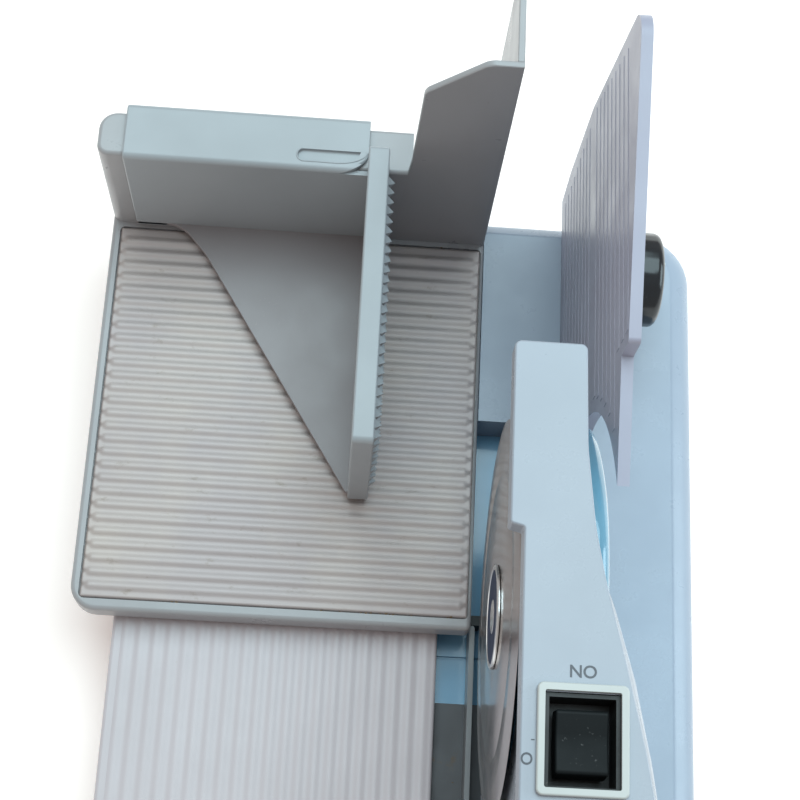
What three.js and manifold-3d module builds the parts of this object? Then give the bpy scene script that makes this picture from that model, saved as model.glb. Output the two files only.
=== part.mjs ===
import * as THREE from "three";
import { mergeVertices } from "three/addons/utils/BufferGeometryUtils.js";
import Module from "manifold-3d";

const wasm = await Module();
wasm.setup();

// Millimetres, +Z up. The operator stands at -Y, the carriage is on the +X side of the blade.
// Heights above the table.
const coverBottom = 9;
const shellBottom = 12;
const channelFloor = 34;
const platformTop = 46;
const deckTop = 60;
const frameBottom = 50;
const trayTop = 64;
const wallTop = 146;
const roofBottom = 261.5;
const roofTop = 273.5;

// Plan sizes of the base.
const baseFront = -191;
const baseRear = 196;
const baseLeft = 148;
const baseRight = -170;
const channelRight = -62;
const channelLeft = -28;
const deckRear = -63;
const deckEdge = -45;

// Cutting disc, its axis along X.
const bladeRadius = 95;
const bladeX = -48.1;
const bladeY = 69.4;
const bladeZ = 156;
const badgeRadius = 25;

// Carriage with its food tray.
const trayX = [-42.6, 164.9];
const trayY = [-166.2, 51];
const frameX = [-44.5, 170];
const frameRear = 57.5;
const wallY = [-195, -169.5];
const ribCount = 28;
const ribFirst = -157.9;
const ribPitch = 7.48;

// Thickness plate and its drive.
const gaugeFace = -90.4;
const gaugeThick = 5.5;
const gaugeArc = 101;
const knobY = -136;
const knobZ = 104;
const knobRadius = 26;
const screwY = -112;
const screwZ = 46.5;
const gearX = [-109, -104.5];

// Blade drive.
const wormX = -79.5;
const wormZ = 112.6;

// The whole object is moved by this much so that its origin is in the middle of its footprint.
const centreY = 15;

function solid(geometry) {
  const bare = geometry.clone();
  bare.deleteAttribute("normal");
  bare.deleteAttribute("uv");
  const joined = mergeVertices(bare, 1e-4);
  const mesh = new wasm.Mesh({
    numProp: 3,
    vertProperties: Float32Array.from(joined.attributes.position.array),
    triVerts: Uint32Array.from(joined.index.array),
  });
  return new wasm.Manifold(mesh);
}

function geometryOf(body) {
  const mesh = body.getMesh();
  const geometry = new THREE.BufferGeometry();
  geometry.setAttribute("position", new THREE.BufferAttribute(mesh.vertProperties, 3));
  geometry.setIndex(new THREE.BufferAttribute(mesh.triVerts, 1));
  const flat = geometry.toNonIndexed();
  flat.computeVertexNormals();
  return flat;
}

function block(x, y, z) {
  const geometry = new THREE.BoxGeometry(x[1] - x[0], y[1] - y[0], z[1] - z[0]);
  geometry.translate((x[0] + x[1]) / 2, (y[0] + y[1]) / 2, (z[0] + z[1]) / 2);
  return solid(geometry);
}

// A closed outline from corners [u, v, radius], with round corners.
function outline(corners, steps = 5) {
  const points = [];
  const count = corners.length;
  for (let i = 0; i < count; i += 1) {
    const [u, v, radius = 0] = corners[i];
    const here = new THREE.Vector2(u, v);
    const before = new THREE.Vector2(...corners[(i + count - 1) % count].slice(0, 2)).sub(here);
    const after = new THREE.Vector2(...corners[(i + 1) % count].slice(0, 2)).sub(here);
    if (radius === 0) {
      points.push(here);
      continue;
    }
    before.normalize();
    after.normalize();
    const half = Math.acos(THREE.MathUtils.clamp(before.dot(after), -1, 1)) / 2;
    const middle = before.clone().add(after).normalize();
    const centre = here.clone().addScaledVector(middle, radius / Math.sin(half));
    const start = here.clone().addScaledVector(before, radius / Math.tan(half)).sub(centre);
    const end = here.clone().addScaledVector(after, radius / Math.tan(half)).sub(centre);
    const turn = Math.atan2(start.x * end.y - start.y * end.x, start.dot(end));
    for (let k = 0; k <= steps; k += 1) {
      const point = start.clone().rotateAround(new THREE.Vector2(), (turn * k) / steps);
      points.push(point.add(centre));
    }
  }
  return points;
}

function extruded(points, depth, xAxis, yAxis, zAxis, offset) {
  const geometry = new THREE.ExtrudeGeometry(new THREE.Shape(points), {
    depth,
    bevelEnabled: false,
  });
  geometry.applyMatrix4(new THREE.Matrix4().makeBasis(xAxis, yAxis, zAxis));
  geometry.translate(...offset);
  return solid(geometry);
}

const unitX = new THREE.Vector3(1, 0, 0);
const unitY = new THREE.Vector3(0, 1, 0);
const unitZ = new THREE.Vector3(0, 0, 1);

// Outlines drawn in plan (x, y), in side view (y, z) and in front view (x, z).
function slab(points, z) {
  return extruded(points, z[1] - z[0], unitX, unitY, unitZ, [0, 0, z[0]]);
}

function sideSlab(points, x) {
  return extruded(points, x[1] - x[0], unitY, unitZ, unitX, [x[0], 0, 0]);
}

function frontSlab(points, y) {
  return extruded(points, y[1] - y[0], unitX, unitZ, unitY.clone().negate(), [0, y[1], 0]);
}

function rod(axis, radius, from, to, a, b, sides = 32) {
  const geometry = new THREE.CylinderGeometry(radius, radius, to - from, sides);
  const middle = (from + to) / 2;
  if (axis === "x") {
    geometry.rotateZ(Math.PI / 2);
    geometry.translate(middle, a, b);
  } else if (axis === "y") {
    geometry.translate(a, middle, b);
  } else {
    geometry.rotateX(Math.PI / 2);
    geometry.translate(a, b, middle);
  }
  return solid(geometry);
}

// A turned piece on an axis along X; the profile is [radius, x] pairs that start and end on the axis.
function turned(profile, y, z, sides = 96) {
  const points = profile.map(([radius, x]) => new THREE.Vector2(radius, x));
  const geometry = new THREE.LatheGeometry(points, sides);
  geometry.rotateZ(-Math.PI / 2);
  geometry.translate(0, y, z);
  return solid(geometry);
}

// A solid through plan outlines at several heights, each with the same number of points.
function loft(sections) {
  const clockwise = THREE.ShapeUtils.isClockWise(sections[0].points);
  const levels = sections.map(({ z, points }) => ({
    z,
    points: clockwise ? [...points].reverse() : points,
  }));
  const count = levels[0].points.length;
  const positions = [];
  const put = (level, i) => {
    const point = levels[level].points[i % count];
    positions.push(point.x, point.y, levels[level].z);
  };
  for (let level = 0; level + 1 < levels.length; level += 1) {
    for (let i = 0; i < count; i += 1) {
      put(level, i);
      put(level, i + 1);
      put(level + 1, i + 1);
      put(level, i);
      put(level + 1, i + 1);
      put(level + 1, i);
    }
  }
  const last = levels.length - 1;
  for (const face of THREE.ShapeUtils.triangulateShape(levels[0].points, [])) {
    [face[2], face[1], face[0]].forEach((i) => put(0, i));
  }
  for (const face of THREE.ShapeUtils.triangulateShape(levels[last].points, [])) {
    face.forEach((i) => put(last, i));
  }
  const geometry = new THREE.BufferGeometry();
  geometry.setAttribute("position", new THREE.Float32BufferAttribute(positions, 3));
  return solid(geometry);
}

const assembly = new THREE.Group();
assembly.name = "food_slicer";

function add(name, body, color, roughness, metalness = 0) {
  const material = new THREE.MeshStandardMaterial({ color, roughness, metalness });
  const mesh = new THREE.Mesh(geometryOf(body.translate([0, centreY, 0])), material);
  mesh.name = name;
  assembly.add(mesh);
}

const white = "#dfe6ea";
const paleGrey = "#c3ced3";
const steel = "#c9c9c6";
const black = "#1b1d1f";

// Base shell: the raised deck on the right, the ribbed platform on the left, a channel between.
function deckOutline(inset, radius) {
  return outline([
    [baseRight + inset, baseFront + inset * 0.75, radius],
    [deckEdge, baseFront + inset * 0.75, 0],
    [deckEdge, baseRear - inset, 0],
    [baseRight + inset, baseRear - inset, radius],
  ]);
}
let base = loft([
  { z: shellBottom, points: deckOutline(0, 32) },
  { z: 46, points: deckOutline(2, 31) },
  { z: 52, points: deckOutline(4, 30) },
  { z: 56.5, points: deckOutline(9, 27) },
  { z: deckTop, points: deckOutline(15, 22) },
]);
const platform = outline([
  [deckEdge - 4, baseFront, 0],
  [baseLeft, baseFront, 16],
  [baseLeft, baseRear, 16],
  [deckEdge - 4, baseRear, 0],
]);
base = base.add(slab(platform, [shellBottom, platformTop]));
for (let x = -22; x < 142; x += 5.4) {
  base = base.add(block([x, x + 2.2], [baseFront + 6, baseRear - 6], [platformTop - 1, platformTop + 1]));
}
base = base.subtract(block([channelRight, channelLeft], [deckRear, 190], [channelFloor, 90]));
base = base.subtract(block([deckEdge, channelLeft], [-180, 190], [channelFloor, 90]));
const deckInside = loft([
  { z: 0, points: deckOutline(4.5, 28) },
  { z: 46, points: deckOutline(6, 27) },
  { z: deckTop - 3.2, points: deckOutline(18, 20) },
]);
base = base.subtract(deckInside.intersect(block([-200, -66], [-200, 200], [0, deckTop])));
base = base.subtract(block([-67, -24], [-184, 189], [0, channelFloor - 3]));
const platformInside = outline([
  [-25, baseFront + 3.5, 0],
  [baseLeft - 3.5, baseFront + 3.5, 13],
  [baseLeft - 3.5, baseRear - 3.5, 13],
  [-25, baseRear - 3.5, 0],
]);
base = base.subtract(slab(platformInside, [0, platformTop - 3]));
base = base.subtract(block([-149, -102.4], [-149.5, -142.5], [50, 70]));
base = base.subtract(block([-110, -104], [-132, -98], [50, 70]));
for (const y of [-160, -90]) {
  base = base.add(block([-164.5, -160], [y - 6, y + 6], [34, deckTop - 3]));
  base = base.add(block([-100, -95], [y - 6, y + 6], [34, deckTop - 3]));
}
base = base.add(block([-103.8, -99], [-119, -105], [36, deckTop - 3]));
for (const y of [-160, -90]) {
  base = base.subtract(rod("x", 3.3, -162.5, -94, y, 43, 24));
}
base = base.subtract(rod("x", 3.5, -106, -98, screwY, screwZ, 24));
add("base_shell", base, white, 0.42);

const cover = outline([
  [-164, -184, 24],
  [142, -184, 14],
  [142, 189, 14],
  [-164, 189, 24],
]);
let coverBody = slab(cover, [coverBottom, shellBottom - 0.3]);
const corners = [
  ["front_left", 122, -164],
  ["front_right", -138, -164],
  ["rear_left", 122, 168],
  ["rear_right", -138, 168],
];
for (const [, x, y] of corners) {
  coverBody = coverBody.subtract(rod("z", 2, 0, 20, x - 26 * Math.sign(x), y, 16));
}
add("bottom_cover", coverBody, "#9ba3a7", 0.6);
for (const [place, x, y] of corners) {
  add(`foot_${place}`, rod("z", 13, 0, coverBottom - 0.3, x, y, 28), black, 0.85);
  const screwX = x - 26 * Math.sign(x);
  const screw = rod("z", 4, 6.6, coverBottom - 0.2, screwX, y, 20);
  add(`cover_screw_${place}`, screw.add(rod("z", 1.7, 8, 11.6, screwX, y, 12)), steel, 0.35, 0.9);
}

const railPlan = outline([
  [-47.7, 52, 1.3],
  [-44.9, 52, 1.3],
  [-44.9, 188, 0],
  [-47.7, 188, 0],
]);
add("slide_rail", slab(railPlan, [channelFloor + 0.3, 51]), "#aeb6ba", 0.4);
add("rail_stop", block([-51, -45.4], [46, 51.4], [channelFloor + 0.3, 49.5]), black, 0.7);

// Motor housing with the arm over the blade, the round drum behind it and the flared body.
function housingLevel(z, right, flare) {
  const [r0, r1, r2, r3, r4] = right;
  return {
    z,
    points: outline([
      [-53, 60, 0],
      [r0 + 6, 60, 4],
      [r1, 85, flare],
      [r2, 112, flare],
      [r3, 147, flare],
      [r4, 191, 18],
      [-47, 191, 6],
      [-47, 171, 1],
      [-53, 168, 1],
    ]),
  };
}
const housingLevels = [
  housingLevel(deckTop + 0.3, [-116, -126, -139, -145, -146], 12),
  housingLevel(110, [-107, -114, -127, -133, -135], 12),
  housingLevel(190, [-96, -101, -110, -117, -121], 12),
  housingLevel(240, [-88, -92, -100, -107, -113], 12),
  housingLevel(roofTop, [-80, -84, -91, -98.5, -106.5], 12),
];
const roofPlan = outline([
  [-73.3, -26.6, 2.5],
  [-73.8, 20, 0],
  [-77.5, 55, 0],
  [-82, 78, 0],
  [-90.5, 112, 0],
  [-98.5, 147, 0],
  [-106.5, 191, 18],
  [-47.5, 191, 6],
  [-47.5, 56.5, 0.5],
  [-41.6, 55, 0.5],
  [-41.6, -26.6, 2.5],
]);
const drumProfile = [
  [0, -88.9],
  [83, -88.9],
  [87.5, -88],
  [90, -84],
  [90, -66],
  [84, -52.5],
  [0, -52.5],
];
let housing = loft(housingLevels);
housing = housing.add(turned(drumProfile, 64, bladeZ, 72));
housing = housing.add(slab(roofPlan, [roofBottom, roofTop]));
housing = housing.add(block([-72.5, -53], [37, 70], [225, roofBottom + 1]));
const drumInside = [
  [0, -85.9],
  [82, -85.9],
  [86, -83],
  [86, -66],
  [81, -55.5],
  [0, -55.5],
];
housing = housing.subtract(turned(drumInside, 64, bladeZ, 72));
const bodyInside = [
  { z: deckTop - 1, x: [-112, -128, -137, -141] },
  { z: 110, x: [-103, -115, -125, -129] },
  { z: 190, x: [-92, -100, -109, -116] },
  { z: 240, x: [-84, -91, -99, -107] },
  { z: roofTop - 3.5, x: [-77.5, -83, -91, -101] },
].map(({ z, x }) => ({
  z,
  points: outline([
    [-56, 63, 0],
    [x[0], 64, 0],
    [x[1], 96, 0],
    [x[2], 128, 0],
    [x[3], 187, 8],
    [-56, 187, 4],
  ]),
}));
housing = housing.subtract(loft(bodyInside));
housing = housing.subtract(rod("x", 14, -60, -50, bladeY, bladeZ, 40));
housing = housing.subtract(block([-88.2, -56.8], [124, 162], [255, 300]));
for (let i = 0; i < 5; i += 1) {
  housing = housing.subtract(block([-98 + i * 8, -94.5 + i * 8], [180, 200], [140, 186]));
}
housing = housing.subtract(rod("y", 7, 180, 200, -100, 84, 28));
add("motor_housing", housing, white, 0.38);

let inlet = rod("y", 10, 191.3, 196, -100, 84, 32).add(rod("y", 6.6, 184, 192, -100, 84, 28));
inlet = inlet.subtract(rod("y", 4, 180, 200, -100, 84, 24));
add("power_inlet", inlet, black, 0.6);

// Switch on top of the housing.
const bezelPlan = outline([
  [-91, 120.5, 3],
  [-54, 120.5, 3],
  [-54, 165, 3],
  [-91, 165, 3],
]);
let bezel = slab(bezelPlan, [roofTop + 0.3, roofTop + 2.6]);
bezel = bezel.subtract(block([-86, -59], [126, 161], [260, 290]));
add("switch_bezel", bezel, "#dcdccf", 0.45);
let well = block([-87.8, -57.2], [124.4, 161.6], [238, roofTop - 0.2]);
well = well.subtract(block([-86, -59], [126, 161], [257, 290]));
add("switch_body", well, black, 0.55);
const rockerSide = outline([
  [128.3, 262.5, 1],
  [143.5, 259.5, 4],
  [158.7, 262.5, 1],
  [159.2, 273, 1.5],
  [143.5, 271.6, 8],
  [127.8, 273, 1.5],
]);
add("switch_rocker", sideSlab(rockerSide, [-84.8, -60.2]), black, 0.35);

// Motor and gear train inside the housing.
let stator = block([wormX - 22.5, wormX + 22.5], [118, 158], [wormZ - 22.5, wormZ + 22.5]);
stator = stator.subtract(rod("y", 14.5, 100, 180, wormX, wormZ, 36));
for (const side of [-1, 1]) {
  stator = stator.add(block([wormX - 15, wormX + 15], [112, 164], [wormZ + side * 19 - 3.4, wormZ + side * 19 + 3.4]));
}
add("motor_stator", stator, "#7d6f5b", 0.5, 0.6);
let rotor = rod("y", 3, 66, 184, wormX, wormZ, 20);
rotor = rotor.add(rod("y", 6, 52, 88, wormX, wormZ, 28));
rotor = rotor.add(rod("y", 13.8, 119, 157, wormX, wormZ, 36));
rotor = rotor.add(rod("y", 17, 168, 174, wormX, wormZ, 36));
add("motor_rotor", rotor, steel, 0.35, 0.9);
const bearings = [["front", 98], ["rear", 177.5]];
for (const [place, y] of bearings) {
  const bush = rod("y", 7, y - 3, y + 3, wormX, wormZ, 28);
  add(`motor_bearing_${place}`, bush.subtract(rod("y", 3.05, y - 5, y + 5, wormX, wormZ, 20)), "#b08d4a", 0.4, 0.9);
}
let bracket = block([wormX - 22, wormX + 22], [94, 102], [62, wormZ + 14]);
bracket = bracket.subtract(rod("y", 7.3, 90, 105, wormX, wormZ, 28));
bracket = bracket.add(block([wormX - 22, wormX + 22], [94, 181.6], [deckTop + 0.4, 66]));
bracket = bracket.add(block([wormX - 22, wormX + 22], [174.3, 181.6], [62, wormZ + 14]));
bracket = bracket.subtract(rod("y", 7.3, 170, 185, wormX, wormZ, 28));
add("motor_bracket", bracket, "#8d9498", 0.5, 0.5);

let gear = rod("x", 37, -84, -76, bladeY, bladeZ, 64);
gear = gear.add(rod("x", 11, -84, -50.2, bladeY, bladeZ, 40));
gear = gear.subtract(rod("x", 9, -60, -40, bladeY, bladeZ, 36));
gear = gear.subtract(rod("x", 4.05, -90, -50, bladeY, bladeZ, 24));
add("blade_gear", gear, "#e4dcc4", 0.5);
let spindle = rod("x", 4, -85.4, -60.4, bladeY, bladeZ, 24);
add("blade_spindle", spindle, steel, 0.3, 0.9);
const bladeProfile = [
  [0, bladeX - 1.6],
  [80, bladeX - 1.6],
  [bladeRadius, bladeX - 1.3],
  [bladeRadius, bladeX - 1.1],
  [86, bladeX],
  [0, bladeX],
];
let blade = turned(bladeProfile, bladeY, bladeZ, 120);
blade = blade.subtract(rod("x", 9, -60, -40, bladeY, bladeZ, 36));
for (const turn of [0, 2.0944, 4.1888]) {
  const holeY = bladeY + 33 * Math.cos(turn);
  const holeZ = bladeZ + 33 * Math.sin(turn);
  blade = blade.subtract(rod("x", 2.5, -60, -40, holeY, holeZ, 20));
}
add("blade", blade, "#d9d9d7", 0.12, 1);
const badgeProfile = [
  [0, bladeX + 0.3],
  [badgeRadius, bladeX + 0.3],
  [badgeRadius, bladeX + 1.1],
  [badgeRadius - 1.2, bladeX + 1.8],
  [0, bladeX + 1.8],
];
let badge = turned(badgeProfile, bladeY, bladeZ, 64);
badge = badge.add(rod("x", 8.7, -59, bladeX + 1, bladeY, bladeZ, 36));
add("blade_badge", badge, "#d6d9da", 0.35, 0.3);

// Thickness plate: its rear edge follows the blade.
const gaugeSide = [];
const arcStart = Math.acos((bladeZ - 60.6) / gaugeArc);
const arcEnd = Math.acos((248.5 - bladeZ) / gaugeArc);
gaugeSide.push(new THREE.Vector2(-203, 60.6));
const arcSteps = 30;
for (let i = 0; i <= arcSteps; i += 1) {
  const turn = arcStart + ((Math.PI - arcEnd - arcStart) * i) / arcSteps;
  gaugeSide.push(new THREE.Vector2(
    bladeY - gaugeArc * Math.sin(turn),
    bladeZ - gaugeArc * Math.cos(turn),
  ));
}
const gaugeTop = outline([
  [-28, 258.5, 0],
  [-28, 275.5, 2],
  [-175.5, 309, 14],
  [-186.5, 250, 60],
  [-200.5, 175, 60],
  [-204.5, 95, 0],
], 6);
gaugeSide.push(...gaugeTop);
let gauge = sideSlab(gaugeSide, [gaugeFace - gaugeThick, gaugeFace]);
for (let i = 0; i < 19; i += 1) {
  const z = 74 + i * 11;
  if (i === 9) {
    continue;
  }
  const front = z < 190 ? -192 : -192 + (z - 190) * 0.24;
  const reach = Math.sqrt(Math.max(0, (gaugeArc + 7) ** 2 - (z - bladeZ) ** 2));
  const rear = z < 243 ? bladeY - reach : -34;
  gauge = gauge.add(block([gaugeFace - 1, gaugeFace + 0.7], [front, rear], [z - 1.2, z + 1.2]));
}
add("gauge_plate", gauge, "#cfd3dc", 0.45);

// Carrier that joins the plate to its slider under the deck.
let carrier = block([-147, -96.2], [-150.5, -141.5], [61, 70]);
carrier = carrier.add(block([-101, -96.2], [-176, -40], [61, 92]));
carrier = carrier.add(block([-147, -143], [-148.8, -143.2], [40, 63]));
carrier = carrier.add(block([-156, -144], [-168, -82], [37, 49.5]));
carrier = carrier.subtract(block([-151, -143], [-126, -98], [30, 55]));
for (const y of [-160, -90]) {
  carrier = carrier.subtract(rod("x", 3.06, -170, -140, y, 43, 24));
}
carrier = carrier.subtract(rod("x", 4.6, -170, -140, screwY, screwZ, 24));
add("gauge_carrier", carrier, "#b9c1c6", 0.5);
add("guide_rod_front", rod("x", 3, -162, -95.4, -160, 43, 24), steel, 0.3, 0.9);
add("guide_rod_rear", rod("x", 3, -162, -95.4, -90, 43, 24), steel, 0.3, 0.9);

// Knob, its gear train and the lead screw.
const bracketSide = outline([
  [-168, 60.4, 0],
  [-86, 60.4, 0],
  [-86, 96, 8],
  [-104, 134, 10],
  [-168, 134, 10],
]);
let post = sideSlab(bracketSide, [-114, -102.2]);
post = post.subtract(block([-130, -100], [-152, -140], [50, 72]));
post = post.subtract(rod("x", 25.5, -109.6, -103.9, knobY, knobZ, 48));
post = post.subtract(rod("x", 14.5, -109.6, -103.9, -122, 69.6, 36));
post = post.subtract(block([-109.6, -103.9], [-132, -97], [50, 66]));
post = post.subtract(rod("x", 5.1, -120, -106, knobY, knobZ, 28));
add("gauge_bracket", post, "#c6ced3", 0.5);
let knobGear = rod("x", 24, ...gearX, knobY, knobZ, 48);
knobGear = knobGear.add(rod("x", 5, -126, -107, knobY, knobZ, 28));
add("knob_gear", knobGear, "#e4dcc4", 0.5);
add("idler_gear", rod("x", 12.8, ...gearX, -122, 69.6, 40), "#e4dcc4", 0.5);
let screw = rod("x", 4, -158, -107, screwY, screwZ, 24);
screw = screw.add(rod("x", 11.8, ...gearX, screwY, screwZ, 40));
screw = screw.add(rod("x", 3.2, -107, -99.5, screwY, screwZ, 24));
add("lead_screw", screw, steel, 0.35, 0.9);
const knobProfile = [
  [0, -138],
  [20, -138],
  [24.5, -136.8],
  [knobRadius, -134.5],
  [knobRadius, -119.5],
  [24, -117.6],
  [0, -117.6],
];
let knob = turned(knobProfile, knobY, knobZ, 72);
knob = knob.subtract(rod("x", 5.15, -128, -100, knobY, knobZ, 28));
for (let i = 0; i < 24; i += 1) {
  const turn = (i * Math.PI) / 12;
  const notchY = knobY + 26.6 * Math.cos(turn);
  const notchZ = knobZ + 26.6 * Math.sin(turn);
  knob = knob.subtract(rod("x", 1.3, -140, -121, notchY, notchZ, 10));
}
add("thickness_knob", knob, black, 0.15);

// Carriage: frame, back wall and thumb guard in one moulding.
const framePlan = outline([
  [frameX[0], wallY[0], 3],
  [frameX[1], wallY[0], 10],
  [frameX[1], frameRear, 14],
  [frameX[0], frameRear, 3],
]);
let frame = slab(framePlan, [frameBottom, trayTop]);
const wallPlan = outline([
  [2, wallY[0], 0],
  [frameX[1], wallY[0], 10],
  [frameX[1], wallY[1], 5],
  [2, wallY[1], 0],
]);
frame = frame.add(slab(wallPlan, [trayTop - 1, wallTop]));
frame = frame.subtract(block([6, 166.5], [-191.5, -173], [45, wallTop - 3]));
frame = frame.subtract(block([-41, 166.5], [-191.5, 54], [45, trayTop - 5]));
frame = frame.subtract(block([trayX[0] - 0.4, trayX[1] + 0.4], [trayY[0] - 0.4, trayY[1] + 0.4], [62, 70]));
const guardSide = outline([
  [-44.5, trayTop - 1, 0],
  [11.5, trayTop - 1, 0],
  [3, 159, 6],
  [0.8, 230, 7],
  [-28, 259.4, 8],
  [-44.5, 259.4, 0],
]);
frame = frame.add(frontSlab(guardSide, [-173, wallY[1]]));
frame = frame.add(block([-44.5, 4], [wallY[0], -172], [trayTop - 1, 84]));
const flangeSide = outline([
  [-172, 84, 0],
  [-172, 259.4, 0],
  [-226, 259.4, 6],
  [-226, 170, 30],
  [-196, 84, 0],
]);
frame = frame.add(sideSlab(flangeSide, [-44.5, -41]));
frame = frame.add(block([-43.5, -40], [-150, -20], [38, 60]));
frame = frame.add(block([149, 152.2], [-176, 45], [36, 60]));
add("carriage_frame", frame, paleGrey, 0.42);

let tray = slab(outline([
  [trayX[0], trayY[0], 3],
  [trayX[1], trayY[0], 3],
  [trayX[1], trayY[1], 3],
  [trayX[0], trayY[1], 3],
]), [62.3, trayTop]);
for (let i = 0; i < ribCount; i += 1) {
  const y = ribFirst + i * ribPitch;
  const rib = outline([
    [-41, y - 2.1, 1.6],
    [163.4, y - 2.1, 1.6],
    [163.4, y + 2.1, 1.6],
    [-41, y + 2.1, 1.6],
  ], 2);
  const crest = outline([
    [-39.6, y - 0.8, 0.5],
    [162, y - 0.8, 0.5],
    [162, y + 0.8, 0.5],
    [-39.6, y + 0.8, 0.5],
  ], 2);
  tray = tray.add(loft([
    { z: trayTop - 0.5, points: rib },
    { z: trayTop + 0.3, points: rib },
    { z: trayTop + 1.4, points: crest },
  ]));
}
add("tray_insert", tray, steel, 0.25, 1);
for (const [place, y] of [["front", -120], ["rear", 20]]) {
  const pad = block([108, 140], [y - 9, y + 9], [platformTop + 1.3, 58.6]);
  add(`glide_pad_${place}`, pad, "#3a3d40", 0.6);
}

// Food pusher: saddle over the back wall, low web and toothed face plate.
const saddleX = [25.6, 155.6];
let pusher = block(saddleX, [-199, -166.5], [wallTop + 0.5, 149.5]);
pusher = pusher.add(block(saddleX, [-169, -166.5], [69, 149]));
pusher = pusher.add(block(saddleX, [-199, -195.6], [112, 149]));
const web = outline([
  [saddleX[1], -167.5, 0],
  [saddleX[1], -166.5, 0],
  [130, -166.5, 18],
  [114, -148, 30],
  [27, -13, 2],
  [20, -13, 0],
  [20, -167.5, 0],
], 6);
pusher = pusher.add(slab(web, [69, 72]));
const facePlate = outline([
  [-168.8, 67.4, 0],
  [-168.8, 168, 2],
  [-10.5, 168, 3],
  [-10.5, 67.4, 0],
]);
pusher = pusher.add(sideSlab(facePlate, [14.7, 25.8]));
for (let row = 0; row < 6; row += 1) {
  for (let i = 0; i < 13; i += 1) {
    const y = -157 + i * 11.2;
    const z = 80 + row * 15;
    const spike = new THREE.ConeGeometry(5, 4, 4);
    spike.rotateY(Math.PI / 4);
    spike.rotateZ(Math.PI / 2);
    spike.translate(13, y, z);
    pusher = pusher.add(solid(spike));
  }
}
pusher = pusher.subtract(sideSlab(outline([
  [-186, 147.6, 0],
  [-186, 152, 0],
  [-179, 152, 0],
  [-179, 147.6, 0],
]), [29, 64]));
add("pusher", pusher, "#b9c8ce", 0.4);

export default assembly;
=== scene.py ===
import math

import bmesh
import bpy
from mathutils import Matrix, Vector


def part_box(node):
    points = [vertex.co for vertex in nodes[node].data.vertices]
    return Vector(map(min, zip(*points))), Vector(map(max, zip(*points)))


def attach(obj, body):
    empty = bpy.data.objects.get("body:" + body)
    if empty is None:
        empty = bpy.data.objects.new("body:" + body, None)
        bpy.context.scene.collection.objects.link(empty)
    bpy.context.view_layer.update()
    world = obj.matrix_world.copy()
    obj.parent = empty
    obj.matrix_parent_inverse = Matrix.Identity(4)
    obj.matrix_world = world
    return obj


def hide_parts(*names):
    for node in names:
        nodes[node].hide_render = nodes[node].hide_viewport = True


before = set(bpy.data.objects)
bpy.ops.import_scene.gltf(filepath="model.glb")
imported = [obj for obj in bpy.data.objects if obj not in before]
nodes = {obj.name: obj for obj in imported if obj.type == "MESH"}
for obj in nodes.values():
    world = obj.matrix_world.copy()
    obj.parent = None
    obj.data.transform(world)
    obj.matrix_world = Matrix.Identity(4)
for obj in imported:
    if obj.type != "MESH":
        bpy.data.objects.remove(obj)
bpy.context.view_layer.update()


# small modelling tools, all in millimetres

def span(node):  # lowest and highest corner of a CAD body, in millimetres
    low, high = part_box(node)
    return [c * 1000 for c in low], [c * 1000 for c in high]


def onPlane(plane, u, v, level):
    if plane == "xy":
        return Vector((u, v, level))
    if plane == "yz":
        return Vector((level, u, v))
    return Vector((u, level, v))


def cornersOf(u, v, radii):
    # a rectangle's corners with a radius each, turning left from low u and low v
    return [[u[0], v[0], radii[0]], [u[1], v[0], radii[1]], [u[1], v[1], radii[2]], [u[0], v[1], radii[3]]]


def outlineSheet(corners, plane="xy", level=0.0, steps=6):
    # one face through the corners [u, v, radius], which are then rounded
    sheet = bmesh.new()
    verts = [sheet.verts.new(onPlane(plane, u, v, level)) for u, v, r in corners]
    sheet.faces.new(verts)
    count = len(corners)
    for i, (u, v, r) in enumerate(corners):
        if r <= 0:
            continue
        here = Vector((u, v))
        before = (Vector(corners[i - 1][:2]) - here).normalized()
        after = (Vector(corners[(i + 1) % count][:2]) - here).normalized()
        half = math.acos(max(-1, min(1, before.dot(after)))) / 2
        bmesh.ops.bevel(sheet, geom=[verts[i]], offset=r / math.tan(half), offset_type="ABSOLUTE",
                        segments=steps, profile=0.5, affect="VERTICES", clamp_overlap=False, material=-1)
    return sheet


def levelEdges(body, axis, levels):
    return [e for e in body.edges
            if any(all(abs(v.co[axis] - at) < 1e-4 for v in e.verts) for at in levels)]


def bevelEdges(body, edges, width, segments=3):
    bmesh.ops.bevel(body, geom=edges, offset=width, offset_type="OFFSET", segments=segments,
                    profile=0.5, affect="EDGES", clamp_overlap=True, material=-1)


def newVerts(result):  # the points that an extrusion made
    return [made for made in result["geom"] if isinstance(made, bmesh.types.BMVert)]


def prism(corners, plane, low, high, rim=0.0, rimLow=None, segments=3, steps=6):
    # an outline pushed from low to high, with both rims rounded
    body = outlineSheet(corners, plane, low, steps)
    axis = {"xy": 2, "yz": 0, "xz": 1}[plane]
    pushed = bmesh.ops.extrude_face_region(body, geom=list(body.faces))
    move = Vector((0, 0, 0))
    move[axis] = high - low
    bmesh.ops.translate(body, vec=move, verts=newVerts(pushed))
    bmesh.ops.recalc_face_normals(body, faces=body.faces)
    rimLow = rim if rimLow is None else rimLow
    if rim:
        bevelEdges(body, levelEdges(body, axis, [high]), rim, segments)
    if rimLow:
        bevelEdges(body, levelEdges(body, axis, [low]), rimLow, segments)
    return body


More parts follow.
